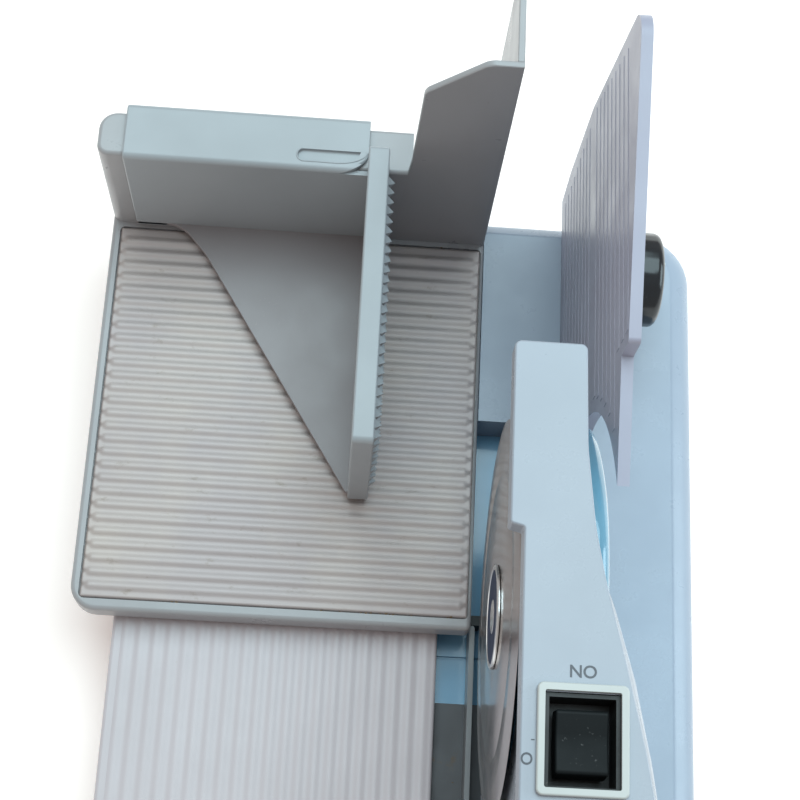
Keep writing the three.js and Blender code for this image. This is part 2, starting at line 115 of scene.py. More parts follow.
def bar(x, y, z, rim=0.0, segments=2):
    # a straight bar with every edge rounded
    body = bmesh.new()
    bmesh.ops.create_cube(body, size=1.0)
    bmesh.ops.scale(body, vec=(x[1] - x[0], y[1] - y[0], z[1] - z[0]), verts=body.verts)
    middle = ((x[0] + x[1]) / 2, (y[0] + y[1]) / 2, (z[0] + z[1]) / 2)
    bmesh.ops.translate(body, vec=middle, verts=body.verts)
    if rim:
        bevelEdges(body, list(body.edges), rim, segments)
    return body


def lofted(levels, steps, wall):
    # a wall through plan outlines (z, corners), closed at the top, open below
    body = bmesh.new()
    for z, corners in levels:
        ring = outlineSheet(corners, "xy", z, steps)
        bmesh.ops.delete(ring, geom=list(ring.faces), context="FACES_ONLY")
        join(body, ring)
    heights = [z for z, corners in levels]
    for low, high in zip(heights, heights[1:]):
        bmesh.ops.bridge_loops(body, edges=levelEdges(body, 2, [low]) + levelEdges(body, 2, [high]))
    bmesh.ops.holes_fill(body, edges=levelEdges(body, 2, [heights[-1]]), sides=0)
    bmesh.ops.recalc_face_normals(body, faces=body.faces)
    bmesh.ops.solidify(body, geom=list(body.faces), thickness=wall)
    bmesh.ops.recalc_face_normals(body, faces=body.faces)
    return body


def spun(profile, centre, sides=96):
    # a profile of [radius, x] pairs turned about an axis along X
    body = bmesh.new()
    verts = [body.verts.new((x, centre[0] + r, centre[1])) for r, x in profile]
    edges = [body.edges.new(pair) for pair in zip(verts, verts[1:])]
    bmesh.ops.spin(body, geom=verts + edges, cent=(0, *centre), axis=(1, 0, 0), dvec=(0, 0, 0),
                   angle=math.tau, steps=sides, use_merge=True, use_duplicate=False)
    bmesh.ops.remove_doubles(body, verts=body.verts, dist=1e-4)
    bmesh.ops.recalc_face_normals(body, faces=body.faces)
    return body


def faceUp(body):
    bmesh.ops.recalc_face_normals(body, faces=body.faces)
    if sum(face.normal.z * face.calc_area() for face in body.faces) < 0:
        bmesh.ops.reverse_faces(body, faces=body.faces)


def join(target, source):
    scratch = bpy.data.meshes.new("scratch")
    source.to_mesh(scratch)
    source.free()
    target.from_mesh(scratch)
    bpy.data.meshes.remove(scratch)
    return target


def together(*bodies):
    whole = bmesh.new()
    for body in bodies:
        join(whole, body)
    return whole


def carved(body, *cutters):
    # the body with the cutters taken away
    shape = asObject("carving", body)
    for cutter in cutters:
        tool = asObject("cutter", cutter)
        cut = shape.modifiers.new("cut", "BOOLEAN")
        cut.operation = "DIFFERENCE"
        cut.solver = "EXACT"
        cut.object = tool
        seen = shape.evaluated_get(bpy.context.evaluated_depsgraph_get())
        mesh = bpy.data.meshes.new_from_object(seen)
        shape.modifiers.clear()
        shape.data = mesh
        bpy.data.objects.remove(tool)
    result = bmesh.new()
    result.from_mesh(shape.data)
    bpy.data.objects.remove(shape)
    return result


def asObject(name, body):
    mesh = bpy.data.meshes.new(name)
    body.to_mesh(mesh)
    body.free()
    piece = bpy.data.objects.new(name, mesh)
    bpy.context.scene.collection.objects.link(piece)
    bpy.context.view_layer.update()
    return piece


def finishPiece(name, body, material, rides, stands=(), smooth=34, weighted=True):
    bmesh.ops.scale(body, vec=(0.001, 0.001, 0.001), verts=body.verts)
    piece = asObject(name, body)
    piece.data.materials.clear()
    piece.data.materials.append(material)
    piece.data.shade_smooth()
    piece.data.set_sharp_from_angle(angle=math.radians(smooth))
    if weighted:
        even = piece.modifiers.new("even normals", "WEIGHTED_NORMAL")
        even.keep_sharp = True
        even.weight = 80
    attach(piece, rides)
    if stands:
        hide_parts(*stands)
    return piece


# materials

def newMaterial(name):
    material = bpy.data.materials.new(name)
    material.use_nodes = True
    tree = material.node_tree
    shader = next(n for n in tree.nodes if n.type == "BSDF_PRINCIPLED")
    coords = tree.nodes.new("ShaderNodeTexCoord")
    return material, tree, shader, coords.outputs["Object"]


def noiseOf(tree, place, scale, detail=3.0, stretch=(1, 1, 1), roughness=0.5):
    turn = tree.nodes.new("ShaderNodeMapping")
    turn.inputs["Scale"].default_value = stretch
    tree.links.new(place, turn.inputs["Vector"])
    noise = tree.nodes.new("ShaderNodeTexNoise")
    noise.inputs["Scale"].default_value = scale
    noise.inputs["Detail"].default_value = detail
    noise.inputs["Roughness"].default_value = roughness
    tree.links.new(turn.outputs["Vector"], noise.inputs["Vector"])
    return noise.outputs["Fac"]


def ranged(tree, value, low, high, outLow, outHigh):
    node = tree.nodes.new("ShaderNodeMapRange")
    node.inputs["From Min"].default_value = low
    node.inputs["From Max"].default_value = high
    node.inputs["To Min"].default_value = outLow
    node.inputs["To Max"].default_value = outHigh
    tree.links.new(value, node.inputs["Value"])
    return node.outputs["Result"]


def blended(tree, factor, first, second):
    node = tree.nodes.new("ShaderNodeMix")
    node.data_type = "RGBA"
    tree.links.new(factor, node.inputs["Factor"])
    for socket, colour in ((node.inputs["A"], first), (node.inputs["B"], second)):
        if isinstance(colour, (tuple, list)):
            socket.default_value = (*colour, 1.0)
        else:
            tree.links.new(colour, socket)
    return node.outputs["Result"]


def bumped(tree, shader, height, strength, distance, normal=None):
    node = tree.nodes.new("ShaderNodeBump")
    node.inputs["Strength"].default_value = strength
    node.inputs["Distance"].default_value = distance
    tree.links.new(height, node.inputs["Height"])
    if normal is not None:
        tree.links.new(normal, node.inputs["Normal"])
    tree.links.new(node.outputs["Normal"], shader.inputs["Normal"])
    return node.outputs["Normal"]


def scaled(colour, amount):
    return tuple(min(1.0, c * amount) for c in colour)


# noise scales are per metre, and a pair in ranged() says where a mark starts and where it is full
def mottled(tree, noise, colour, dark, light):
    return blended(tree, ranged(tree, noise, 0.3, 0.7, 0.0, 1.0), scaled(colour, dark), scaled(colour, light))


def moulded(name, colour, rough, grain, dust, dustColour=(0.42, 0.38, 0.33), coat=0.0,
            specular=0.5):
    material, tree, shader, place = newMaterial(name)
    broad = noiseOf(tree, place, 11.0, 4.0)
    tone = mottled(tree, broad, colour, 0.95, 1.05)
    specks = noiseOf(tree, place, 620.0, 2.0)
    patches = noiseOf(tree, place, 38.0, 5.0, roughness=0.62)
    speckMask = ranged(tree, specks, 0.66, 0.76, 0.0, 1.0)
    patchMask = ranged(tree, patches, 0.50, 0.74, 0.0, 1.0)
    both = tree.nodes.new("ShaderNodeMath")
    both.operation = "MULTIPLY"
    tree.links.new(speckMask, both.inputs[0])
    tree.links.new(patchMask, both.inputs[1])
    dusty = ranged(tree, both.outputs["Value"], 0.0, 1.0, 0.0, dust * 4)
    tone = blended(tree, dusty, tone, dustColour)
    tree.links.new(tone, shader.inputs["Base Color"])
    tree.links.new(ranged(tree, patches, 0.3, 0.7, *rough), shader.inputs["Roughness"])
    fine = noiseOf(tree, place, 1500.0, 2.0)
    bumped(tree, shader, fine, grain, 0.0003)
    shader.inputs["Specular IOR Level"].default_value = specular
    if coat:
        shader.inputs["Coat Weight"].default_value = coat
        shader.inputs["Coat Roughness"].default_value = 0.08
    return material


def machined(name, colour, rough, stretch, scale, depth=0.12, stain=0.25,
             stainColour=(0.33, 0.27, 0.20)):
    # tool marks drawn out by the stretch, and stained blots
    material, tree, shader, place = newMaterial(name)
    shader.inputs["Metallic"].default_value = 1.0
    lines = noiseOf(tree, place, scale, 5.0, stretch, 0.7)
    blots = noiseOf(tree, place, 55.0, 6.0, roughness=0.68)
    tone = mottled(tree, lines, colour, 0.90, 1.06)
    tone = blended(tree, ranged(tree, blots, 0.60, 0.78, 0.0, stain), tone, stainColour)
    tree.links.new(tone, shader.inputs["Base Color"])
    tree.links.new(ranged(tree, lines, 0.25, 0.75, *rough), shader.inputs["Roughness"])
    bumped(tree, shader, lines, depth, 0.0002)
    return material


print("materials")
housingBlue = moulded("housing plastic", (0.315, 0.345, 0.395), (0.24, 0.34), 0.05, 0.03)
baseBlue = moulded("base plastic", (0.295, 0.35, 0.43), (0.24, 0.36), 0.05, 0.035)
# the channel is the same plastic as the deck; this darker, bluer copy is painted shade between the carriage
# and the blade
channelPaintedShadeBlue = moulded("channel plastic painted shade", (0.16, 0.34, 0.50), (0.14, 0.24), 0.03, 0.10, coat=0.3)
# the drum is housing plastic; this darker, bluer glossy copy is painted shade under the arm
drumPaintedShadeBlue = moulded("drum plastic painted shade", (0.12, 0.28, 0.39), (0.08, 0.15), 0.02, 0.04, coat=0.6)
platformGrey = moulded("platform plastic", (0.53, 0.485, 0.505), (0.30, 0.42), 0.06, 0.10)
carriageGrey = moulded("carriage plastic", (0.33, 0.33, 0.34), (0.26, 0.38), 0.05, 0.10)
pusherGrey = moulded("pusher plastic", (0.325, 0.35, 0.37), (0.28, 0.40), 0.05, 0.08)
# the web is the same moulded plastic as the pusher; this darker copy is painted shade from the saddle and
# face plate
pusherWebPaintedShade = moulded("pusher web painted shade plastic", (0.235, 0.212, 0.216), (0.32, 0.44), 0.05, 0.08)
gaugeGrey = moulded("gauge plastic", (0.335, 0.335, 0.415), (0.28, 0.40), 0.05, 0.08)
bezelCream = moulded("bezel plastic", (0.46, 0.475, 0.46), (0.30, 0.40), 0.04, 0.05)
rockerBlack = moulded("rocker plastic", (0.008, 0.010, 0.011), (0.42, 0.58), 0.10, 0.14,
                      (0.22, 0.22, 0.22), specular=0.12)
wellBlack = moulded("switch well plastic", (0.006, 0.007, 0.007), (0.40, 0.56), 0.08, 0.12,
                    (0.20, 0.18, 0.15))
knobBlack = moulded("knob plastic", (0.006, 0.009, 0.012), (0.17, 0.24), 0.02, 0.05, (0.2, 0.2, 0.2))
rubberBlack = moulded("foot rubber", (0.025, 0.025, 0.026), (0.65, 0.85), 0.30, 0.18,
                      (0.2, 0.19, 0.17))
coverGrey = moulded("cover plastic", (0.34, 0.36, 0.375), (0.45, 0.60), 0.22, 0.16)
railGrey = moulded("rail plastic", (0.20, 0.21, 0.22), (0.28, 0.40), 0.05, 0.14)
nylonCream = moulded("nylon", (0.70, 0.66, 0.54), (0.38, 0.50), 0.05, 0.05)
shaftSteel = machined("ground shaft steel", (0.60, 0.60, 0.58), (0.20, 0.30), (70, 1, 1), 30.0)
screwSteel = machined("zinc screw steel", (0.62, 0.61, 0.58), (0.30, 0.42), (1, 1, 1), 300.0)
statorSteel = machined("stator laminations", (0.26, 0.23, 0.19), (0.40, 0.55), (1, 90, 1), 30.0)
bushBronze = machined("bush bronze", (0.56, 0.40, 0.19), (0.32, 0.44), (1, 1, 1), 300.0)
bracketGrey = machined("bracket metal", (0.36, 0.37, 0.38), (0.38, 0.50), (1, 1, 1), 120.0)

cadFinishes = {
    "bottom_cover": coverGrey, "slide_rail": railGrey, "rail_stop": wellBlack, "power_inlet": wellBlack,
    "switch_body": wellBlack, "motor_stator": statorSteel, "motor_rotor": shaftSteel,
    "motor_bearing_front": bushBronze, "motor_bearing_rear": bushBronze, "motor_bracket": bracketGrey,
    "blade_gear": nylonCream, "blade_spindle": shaftSteel, "gauge_carrier": railGrey,
    "guide_rod_front": shaftSteel, "guide_rod_rear": shaftSteel, "gauge_bracket": railGrey,
    "knob_gear": nylonCream, "idler_gear": nylonCream, "lead_screw": shaftSteel,
    "glide_pad_front": rubberBlack, "glide_pad_rear": rubberBlack,
}
for end in ("front_left", "front_right", "rear_left", "rear_right"):
    cadFinishes[f"foot_{end}"] = rubberBlack
    cadFinishes[f"cover_screw_{end}"] = screwSteel
for name, material in cadFinishes.items():
    nodes[name].data.materials.clear()
    nodes[name].data.materials.append(material)

# base: deck, platform, channel

print("base")
shellLow, shellHigh = span("base_shell")
# the levels are height, inset and corner radius, from the foot to the top
deck = {
    "edge": -45.0, "notchX": -62.0, "notchY": -48.0, "wall": 3.0, "frontInset": 0.75,
    "levels": [[12.0, 0.0, 32], [30.0, 1.1, 31.5], [46.0, 2.0, 31], [50.0, 3.1, 30.5], [53.0, 4.8, 29.5],
        [55.6, 7.6, 28], [57.6, 10.8, 26], [59.1, 13.6, 24], [59.8, 15.0, 22.5], [60.0, 16.4, 21.5]],
    "carrierSlot": [[-149, -102.4], [-134.5, -127.5], [50, 70]],
    "gearSlot": [[-110, -104], [-117, -83], [50, 70]],
}


def deckCorners(inset, radius):
    left, rear = shellLow[0] + inset, shellHigh[1] - inset
    front = shellLow[1] + inset * deck["frontInset"]
    return [[left, front, radius], [deck["edge"], front, 0], [deck["edge"], deck["notchY"], 0],
            [deck["notchX"], deck["notchY"], 0], [deck["notchX"], rear, 0], [left, rear, radius]]


deckSkin = lofted([(z, deckCorners(inset, radius)) for z, inset, radius in deck["levels"]], 9, deck["wall"])
deckBody = carved(deckSkin, bar(*deck["carrierSlot"]), bar(*deck["gearSlot"]))
finishPiece("base_deck", deckBody, baseBlue, "base", ["base_shell"], 28)

platform = {
    "left": -28.0, "top": 46.0, "cornerRadius": 16, "rim": 2.2, "footRim": 0.6, "ribPitch": 8.1,
    "ribHeight": 0.6, "ribFade": 4, "margin": 5.5, "marginLeft": 2.0, "lift": 0.05, "sunk": 1, "rows": 24,
    "columns": 420, "crowd": 2.6,
}
platformEdge = cornersOf([platform["left"], shellHigh[0]], [shellLow[1], shellHigh[1]],
                         [0, platform["cornerRadius"], platform["cornerRadius"], 0])
platformBody = prism(platformEdge, "xy", shellLow[2], platform["top"], platform["rim"], platform["footRim"],
                     4, 10)
corrugated = bmesh.new()
bmesh.ops.create_grid(corrugated, x_segments=platform["columns"], y_segments=platform["rows"], size=0.5)
left, right = platform["left"] + platform["marginLeft"], shellHigh[0] - platform["margin"]
front, rear = shellLow[1] + platform["margin"], shellHigh[1] - platform["margin"]
for vert in corrugated.verts:
    # rows crowd towards both ends, where the ribs fade out
    along = vert.co.y * 2
    along = math.copysign(1 - (1 - abs(along)) ** platform["crowd"], along)
    x = left + (right - left) * (vert.co.x + 0.5)
    y = front + (rear - front) * (along + 1) / 2
    wave = 0.5 - 0.5 * math.cos(math.tau * (x - left) / platform["ribPitch"])
    ends = min(1, (y - front) / platform["ribFade"], (rear - y) / platform["ribFade"])
    rise = platform["ribHeight"] * wave * math.sin(ends * math.pi / 2)
    vert.co = (x, y, platform["top"] + platform["lift"] + rise)
skirt = bmesh.ops.extrude_edge_only(corrugated, edges=[e for e in corrugated.edges if e.is_boundary])
for vert in newVerts(skirt):
    vert.co.z = platform["top"] - platform["sunk"]
faceUp(corrugated)
finishPiece("base_platform", platformBody, platformGrey, "base")
finishPiece("platform_ribs", corrugated, platformGrey, "base", smooth=60, weighted=False)

channel = {
    "floor": 34.0, "thick": 3.0, "rim": 0.4, "lap": 0.5, "frontRight": -45.0, "left": -28.0,
    "right": -62.0, "rearWall": 6.0, "frontWall": 11.0, "wallGap": 0.6, "wallRim": 0.5, "wallDrop": 0.4,
    "seam": [81.4, 82.6], "seamDeep": 1.5, "seamLap": 2.0, "step": 0.02, "frontGap": 0.4,
    "plate": [107.0, 204.4], "plateGap": 0.6, "plateSunk": 0.6, "plateProud": 0.25, "plateRim": 0.2,
}
wide = [channel["right"] - channel["lap"], channel["left"] + channel["lap"]]
wideFront = [channel["frontRight"] - channel["lap"], wide[1]]
floorTop = channel["floor"]
under = floorTop - channel["thick"]
seamFront, seamRear = channel["seam"]
rearEnd, frontEnd = shellHigh[1] - channel["rearWall"], shellLow[1] + channel["frontWall"]
wallTall = [shellLow[2], platform["top"] - channel["wallDrop"]]
channelBody = together(
    bar(wide, [deck["notchY"] - channel["lap"], seamFront], [under, floorTop], channel["rim"]),
    bar(wide, [seamRear, rearEnd], [under, floorTop], channel["rim"]),
    bar(wide, [seamFront - channel["seamLap"], seamRear + channel["seamLap"]],
        [under, floorTop - channel["seamDeep"]]),
    bar(wideFront, [frontEnd, deck["notchY"] - channel["frontGap"]], [under, floorTop - channel["step"]]),
    bar(wide, [rearEnd, shellHigh[1] - channel["wallGap"]], wallTall, channel["wallRim"]),
    bar(wideFront, [shellLow[1] + channel["wallGap"], frontEnd], wallTall, channel["wallRim"]),
)
# the channel floor and walls take the darker, bluer copy of the base plastic, which is painted shade
finishPiece("base_channel", channelBody, channelPaintedShadeBlue, "base")
channelSteel = machined("channel plate steel", (0.115, 0.115, 0.12), (0.50, 0.65), (1, 1, 1), 60.0,
                        0.06, 0.9, (0.16, 0.10, 0.05))
plateWide = [channel["right"] + channel["plateGap"], channel["left"] - channel["plateGap"]]
plateTall = [floorTop - channel["plateSunk"], floorTop + channel["plateProud"]]
channelPlate = bar(plateWide, channel["plate"], plateTall, channel["plateRim"])
finishPiece("channel_plate", channelPlate, channelSteel, "base")

# motor housing: arm, neck, drum, flared body

print("housing")
roofTop = span("motor_housing")[1][2]
arm = {
    "thick": 12.0, "rim": 1.7, "rimLow": 0.8, "wellFloor": 250, "corners": [[-73.3, -11.6, 3],
        [-73.9, 35, 60], [-77.5, 70, 90], [-82, 93, 90], [-90.5, 127, 90], [-98.5, 162, 60],
        [-106.3, 205.6, 18], [-47.5, 205.6, 6], [-47.5, 71.5, 1.0], [-41.6, 70, 1.5], [-41.6, -11.6, 3]],
}
switchLow, switchHigh = span("switch_body")


def wellCut(floor):
    # room for the switch body
    gap = 0.4
    x, y = [[switchLow[k] - gap, switchHigh[k] + gap] for k in (0, 1)]
    return bar(x, y, [floor, 300])


armBar = prism(arm["corners"], "xy", roofTop - arm["thick"], roofTop, arm["rim"], arm["rimLow"], 4, 7)
armBody = carved(armBar, wellCut(arm["wellFloor"]))
finishPiece("housing_arm", armBody, housingBlue, "base", ["motor_housing"])

# the levels are height, then the reach of the far side at five places, front to rear
flare = {
    "wall": 3.0, "wellFloor": 230, "front": 75, "rear": 206, "left": -53, "leftRear": -47.8,
    "leftStep": [183, 186], "levels": [[60.3, [-116, -126, -139, -145, -146]],
        [75, [-114.5, -124, -137, -143, -144.2]], [110, [-107, -114, -127, -133, -135]],
        [150, [-101, -107, -118, -125, -128]], [190, [-96, -101, -110, -117, -121]],
        [220, [-91.5, -96, -104.5, -111.5, -116.5]], [240, [-88, -92, -100, -107, -113]],
        [258, [-84, -88, -95.5, -103, -110]], [269, [-81.2, -85.2, -92.4, -99.9, -107.6]],
        [272, [-79.4, -83.4, -90.6, -98.2, -106]], [273.0, [-77, -81, -88.4, -96, -104]]],
}


def flareCorners(reach):
    return [[flare["left"], flare["front"], 0], [reach[0] + 6, flare["front"], 4], [reach[1], 100, 40],
            [reach[2], 127, 40], [reach[3], 162, 40], [reach[4], flare["rear"], 18],
            [flare["leftRear"], flare["rear"], 6], [flare["leftRear"], flare["leftStep"][1], 1],
            [flare["left"], flare["leftStep"][0], 1]]


flareSkin = lofted([(z, flareCorners(reach)) for z, reach in flare["levels"]], 6, flare["wall"])
vent = {
    "count": 5, "pitch": 8, "first": [-97.6, -94.4], "height": [140, 186], "depth": [195, 215],
    "round": 1.6,
}
ventCuts = []
for i in range(vent["count"]):
    wide = [edge + i * vent["pitch"] for edge in vent["first"]]
    ventCuts.append(prism(cornersOf(wide, vent["height"], [vent["round"]] * 4), "xz", *vent["depth"]))
flareBody = carved(flareSkin, wellCut(flare["wellFloor"]), *ventCuts)
finishPiece("housing_body", flareBody, housingBlue, "base")

# profiles are [radius, x] pairs
drum = {
    "centre": [79.0, 156.0], "profile": [[0, -88.9], [82, -88.9], [85.4, -88.5], [88.2, -87.0],
        [89.7, -84.6], [90, -82], [90, -68], [89.6, -66], [84.6, -54.0], [83.4, -52.9], [82, -52.5],
        [0, -52.5]], "innerProfile": [[0, -85.9], [82, -85.9], [86, -83], [86, -68], [81, -55.5],
        [0, -55.5]],
}
drumBody = spun(drum["profile"], drum["centre"], 144)
inside = spun(drum["innerProfile"], drum["centre"], 72)
bmesh.ops.reverse_faces(inside, faces=inside.faces)
drumBody = together(drumBody, inside)
# the drum takes the darker, bluer copy of the housing plastic, which is painted shade
finishPiece("housing_drum", drumBody, drumPaintedShadeBlue, "base", smooth=30, weighted=False)
neck = {"x": [-72.5, -53.4], "y": [52, 85], "low": 225, "lap": 1, "rim": 1.2}
neckBody = bar(neck["x"], neck["y"], [neck["low"], roofTop - arm["thick"] + neck["lap"]], neck["rim"], 3)
finishPiece("housing_neck", neckBody, housingBlue, "base")

# switch

print("switch")
bezelLow, bezelHigh = span("switch_bezel")
rockerLow, rockerHigh = span("switch_rocker")
bezel = {"lip": 3.1, "radius": 2.6, "holeRadius": 0.8, "rim": 0.8, "rimLow": 0.2, "cutBeyond": 5}
lip, beyond = bezel["lip"], bezel["cutBeyond"]
bezelOuter = prism(cornersOf([bezelLow[0], bezelHigh[0]], [bezelLow[1], bezelHigh[1]], [bezel["radius"]] * 4),
                   "xy", bezelLow[2], bezelHigh[2], bezel["rim"], bezel["rimLow"], 3, 6)
bezelHole = prism(cornersOf([bezelLow[0] + lip, bezelHigh[0] - lip], [bezelLow[1] + lip, bezelHigh[1] - lip],
                            [bezel["holeRadius"]] * 4),
                  "xy", bezelLow[2] - beyond, bezelHigh[2] + beyond, 0, 0, 1, 3)
bezelBody = carved(bezelOuter, bezelHole)
finishPiece("switch_frame", bezelBody, bezelCream, "base", ["switch_bezel"])

rocker = {"rim": 1.2, "dish": 1.3, "sideGap": 1.6, "endGap": 3.0, "tipRise": 0.8, "keel": 3, "keelOut": 1}
rockerMiddle = (rockerLow[1] + rockerHigh[1]) / 2
rockerFront, rockerRear = rockerLow[1] + rocker["endGap"], rockerHigh[1] - rocker["endGap"]
rockerKeel, rockerTip = rockerLow[2] + rocker["keel"], rockerHigh[2] + rocker["tipRise"]
rockerSide = [[rockerFront - rocker["keelOut"], rockerKeel, 1], [rockerMiddle, rockerLow[2], 6],
              [rockerRear + rocker["keelOut"], rockerKeel, 1], [rockerRear, rockerTip, 1.6],
              [rockerMiddle, rockerHigh[2] - rocker["dish"], 20], [rockerFront, rockerTip, 1.6]]
rockerBody = prism(rockerSide, "yz", rockerLow[0] + rocker["sideGap"], rockerHigh[0] - rocker["sideGap"],
                   rocker["rim"], rocker["rim"], 4, 8)
finishPiece("switch_key", rockerBody, rockerBlack, "switch", ["switch_rocker"], 40)

# blade and badge

print("blade")
bladeLow, bladeHigh = span("blade")
bladeMiddle = [(bladeLow[1] + bladeHigh[1]) / 2, (bladeLow[2] + bladeHigh[2]) / 2]
bladeRadius = (bladeHigh[1] - bladeLow[1]) / 2
faceX = bladeHigh[0]
# pairs of radius and depth behind the front, except that the edge counts in from the rim
disc = {
    "back": [[9.0, 1.6], [80, 1.6]], "edge": [[0.2, 1.35], [0, 1.2]], "face": [[91.5, 0.62], [90.9, 0.56],
        [82.0, 0.04], [81.2, 0], [70, 0], [69.4, 0.12], [68.2, 0.12], [67.6, 0], [34, 0], [9.0, 0],
        [9.0, 1.6]],
}


def setBack(front, pairs, way=-1):
    return [[radius, front + way * depth] for radius, depth in pairs]


discEdge = [[bladeRadius - inward, faceX - depth] for inward, depth in disc["edge"]]
bladeBody = spun(setBack(faceX, disc["back"]) + discEdge + setBack(faceX, disc["face"]), bladeMiddle, 180)


def radial(name, colour, rough, centre):
    # fine rings round a centre, as left by grinding and polishing a disc
    material, tree, shader, place = newMaterial(name)
    shader.inputs["Metallic"].default_value = 1.0
    shift = tree.nodes.new("ShaderNodeMapping")
    shift.inputs["Location"].default_value = (0, -centre[0] / 1000, -centre[1] / 1000)
    shift.inputs["Scale"].default_value = (0, 1, 1)
    tree.links.new(place, shift.inputs["Vector"])
    length = tree.nodes.new("ShaderNodeVectorMath")
    length.operation = "LENGTH"
    tree.links.new(shift.outputs["Vector"], length.inputs[0])
    rings = tree.nodes.new("ShaderNodeTexNoise")
    rings.noise_dimensions = "1D"
    rings.inputs["Scale"].default_value = 900.0
    rings.inputs["Detail"].default_value = 4.0
    tree.links.new(length.outputs["Value"], rings.inputs["W"])
    smears = noiseOf(tree, place, 26.0, 5.0, roughness=0.6)
    tone = mottled(tree, rings.outputs["Fac"], colour, 0.93, 1.05)
    tone = blended(tree, ranged(tree, smears, 0.55, 0.80, 0.0, 0.35), tone, (0.50, 0.42, 0.36))
    tree.links.new(tone, shader.inputs["Base Color"])
    tree.links.new(ranged(tree, smears, 0.35, 0.75, *rough), shader.inputs["Roughness"])
    bumped(tree, shader, rings.outputs["Fac"], 0.012, 0.00002)
    return material


# the warm, darker tint of this steel colour is a painted reflection of warm surroundings in the blade
bladeSteelPaintedReflection = radial("polished blade steel painted reflection", (0.49, 0.435, 0.42), (0.15, 0.27), bladeMiddle)
finishPiece("cutting_disc", bladeBody, bladeSteelPaintedReflection, "blade", ["blade"], 20, False)

badgeLow, badgeHigh = span("blade_badge")
badgeFront = badgeHigh[0]
badge = {
    "boss": 8.6, "seat": 0.3, "radius": 25.0, "seatRim": 0.1, "ring": [[25.0, 0.8], [24.7, 0.3],
        [23.9, 0], [23.4, 0], [22.8, 0.5], [0, 0.5]], "band": [[0, 0.6], [22.5, 0.6], [22.3, 0.32],
        [9.4, 0.30], [9.0, 0.42], [0, 0.42]], "dome": [[0, 0.5], [8.4, 0.5], [7.8, 0.2], [5.0, 0.05],
        [0, 0]],
}
badgeSeat = faceX + badge["seat"]
badgeBack = [[0, badgeLow[0]], [badge["boss"], badgeLow[0]], [badge["boss"], badgeSeat],
             [badge["radius"] - badge["seatRim"], badgeSeat], [badge["radius"], badgeSeat + badge["seatRim"]]]
badgeBody = spun(badgeBack + setBack(badgeFront, badge["ring"]), bladeMiddle, 96)
badgeSilver = radial("badge silver", (0.74, 0.75, 0.75), (0.22, 0.32), bladeMiddle)
finishPiece("badge_ring", badgeBody, badgeSilver, "blade", ["blade_badge"], 30, False)
badgeBlue = moulded("badge enamel", (0.040, 0.052, 0.090), (0.55, 0.65), 0.03, 0.06, specular=0.08)
bandBody = spun(setBack(badgeFront, badge["band"]), bladeMiddle, 96)
finishPiece("badge_band", bandBody, badgeBlue, "blade", smooth=40, weighted=False)
domeBody = spun(setBack(badgeFront, badge["dome"]), bladeMiddle, 64)
finishPiece("badge_dome", domeBody, badgeSilver, "blade", smooth=40, weighted=False)

# thickness knob

print("knob")
knobLow, knobHigh = span("thickness_knob")
knobMiddle = [(knobLow[1] + knobHigh[1]) / 2, (knobLow[2] + knobHigh[2]) / 2]
# front pairs are radius and depth from the front face, back pairs from the back face
knob = {
    "bore": 5.2, "front": [[5.2, 8], [0, 8], [0, 1.4], [14, 0.9], [18.6, 0.3], [20.5, 0], [22.6, 0.35],
        [24.4, 1.3], [25.5, 2.7], [26.0, 4.4], [26.0, 11]],
    "back": [[26.0, 2.2], [25.5, 0.9], [24.2, 0], [5.2, 0]], "flutes": 24, "fluteDepth": 0.12,
    "fluteIn": 25.2, "fluteFrom": 3, "mark": [15, 22.5], "markHalf": 0.9, "markRound": 0.8,
    "markDepth": [0.05, 1.2],
}
knobProfile = [[knob["bore"], knobHigh[0]]]
knobProfile += setBack(knobLow[0], knob["front"], 1) + setBack(knobHigh[0], knob["back"])
knobBody = spun(knobProfile, knobMiddle, 216)
for vert in knobBody.verts:
    away = Vector((0, vert.co.y - knobMiddle[0], vert.co.z - knobMiddle[1]))
    if away.length > knob["fluteIn"] and vert.co.x > knobLow[0] + knob["fluteFrom"]:
        turn = math.atan2(away.z, away.y)
        vert.co -= away.normalized() * knob["fluteDepth"] * (0.5 - 0.5 * math.cos(turn * knob["flutes"]))
finishPiece("dial_knob", knobBody, knobBlack, "knob", ["thickness_knob"], 40, False)
markBody = prism(cornersOf([knobMiddle[0] - knob["markHalf"], knobMiddle[0] + knob["markHalf"]],
                           [knobMiddle[1] + along for along in knob["mark"]], [knob["markRound"]] * 4),
                 "yz", *[knobLow[0] + deep for deep in knob["markDepth"]], 0.2, 0, 2)
printWhite = moulded("printed mark white", (0.70, 0.71, 0.70), (0.35, 0.45), 0.02, 0.05)
finishPiece("knob_mark", markBody, printWhite, "knob")

# thickness plate

print("thickness plate")
gaugeBottom = span("gauge_plate")[0][2]
# the outline past the arc is [y, z, radius]: horn, top, then down the front
gauge = {
    "face": -90.4, "thick": 5.5, "rim": 1.1, "front": -188.0, "arcRadius": 101.0, "arcTop": 248.5,
    "arcSteps": 40, "outline": [[-13.0, 258.5, 0], [-13.0, 275.5, 2.5], [-160.5, 309.0, 14],
        [-171.5, 250, 60], [-185.5, 175, 60], [-189.5, 95, 0]], "ribFirst": 74.0, "ribPitch": 11.0,
    "ribCount": 19, "ribSkip": 9, "ribProud": 0.26, "ribHalf": 2.7, "ribRim": 0.24, "ribSunk": 1,
    "ribFront": -179, "leanFrom": 190, "lean": 0.24, "ribGap": 7, "hornFrom": 243, "hornRear": -19,
}
arcRadius = gauge["arcRadius"]
arcStart = math.acos((bladeMiddle[1] - gaugeBottom) / arcRadius)
arcEnd = math.pi - math.acos((gauge["arcTop"] - bladeMiddle[1]) / arcRadius)
gaugeCorners = [[gauge["front"], gaugeBottom, 0]]
